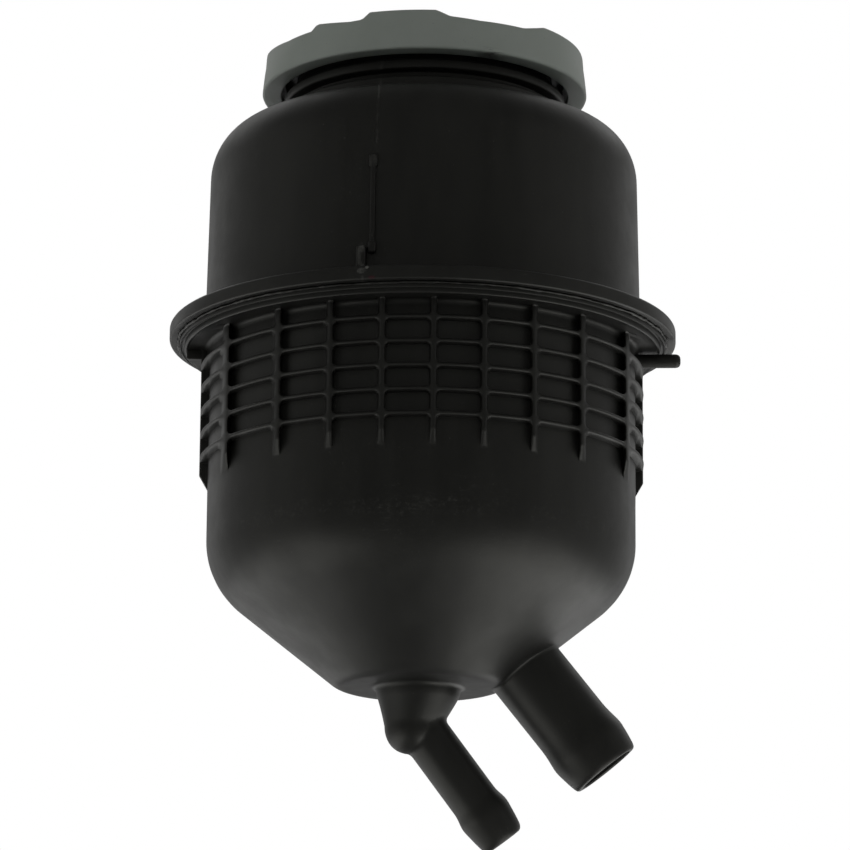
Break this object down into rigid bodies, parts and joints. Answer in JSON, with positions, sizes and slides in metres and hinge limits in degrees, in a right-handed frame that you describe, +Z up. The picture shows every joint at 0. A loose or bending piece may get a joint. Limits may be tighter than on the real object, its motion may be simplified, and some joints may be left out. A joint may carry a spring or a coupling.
{
  "type": "power steering reservoir",
  "caption": "Moulded power steering reservoir with a welded flange, ribbed conical base, suction and return hose stubs, screw cap with dipstick, and an inner return filter with a bypass valve.",
  "frame": {"origin": "on the reservoir's axis, in the plane of the flange's underside, where it sits in its ring bracket", "axes": "+Z up along the axis towards the cap, both hose stubs lean down towards +X, and the picture's camera is on the -Y side"},
  "size_m": [0.1111, 0.11, 0.1756],
  "materials": {
    "shell_plastic": "satin",
    "cap_plastic": "satin",
    "plug_plastic": "satin",
    "seal_rubber": "matte",
    "stick_plastic": "satin",
    "filter_plastic": "satin",
    "mesh_cloth": "matte",
    "spring_steel": "satin"
  },
  "bodies": {
    "housing": {"lower_shell": "shell_plastic", "upper_shell": "shell_plastic", "baffle_plate": "filter_plastic", "filter_spring": "spring_steel", "filter_top_plate": "filter_plastic", "filter_cage": "filter_plastic", "filter_mesh": "mesh_cloth", "filter_bottom_plate": "filter_plastic", "filter_seal": "seal_rubber", "bypass_cage": "filter_plastic", "bypass_spring": "spring_steel"},
    "stick": {"dipstick": "stick_plastic"},
    "cap": {"cap_shell": "cap_plastic", "cap_plug": "plug_plastic", "cap_gasket": "seal_rubber", "vent_valve": "seal_rubber"},
    "bypass_valve": {"bypass_disc": "plug_plastic"}
  },
  "joints": [
    {"name": "cap_lift", "type": "slide", "parent": "housing", "child": "stick", "axis": [0, 0, 1], "range_m": [0, 0.0091]},
    {"name": "cap_turn", "type": "hinge", "parent": "stick", "child": "cap", "pos_m": [0, 0, 0.0605], "axis": [0, 0, 1], "range_deg": [0, 540]},
    {"name": "bypass_lift", "type": "slide", "parent": "housing", "child": "bypass_valve", "axis": [0, 0, 1], "range_m": [0, 0.003], "stiffness_N_per_m": 250, "springref_m": -0.008, "deforming": ["bypass_spring"]}
  ],
  "couplings": [
    {"joint": "cap_lift", "follows": "cap_turn", "m_per_rad": 0.00095493}
  ]
}
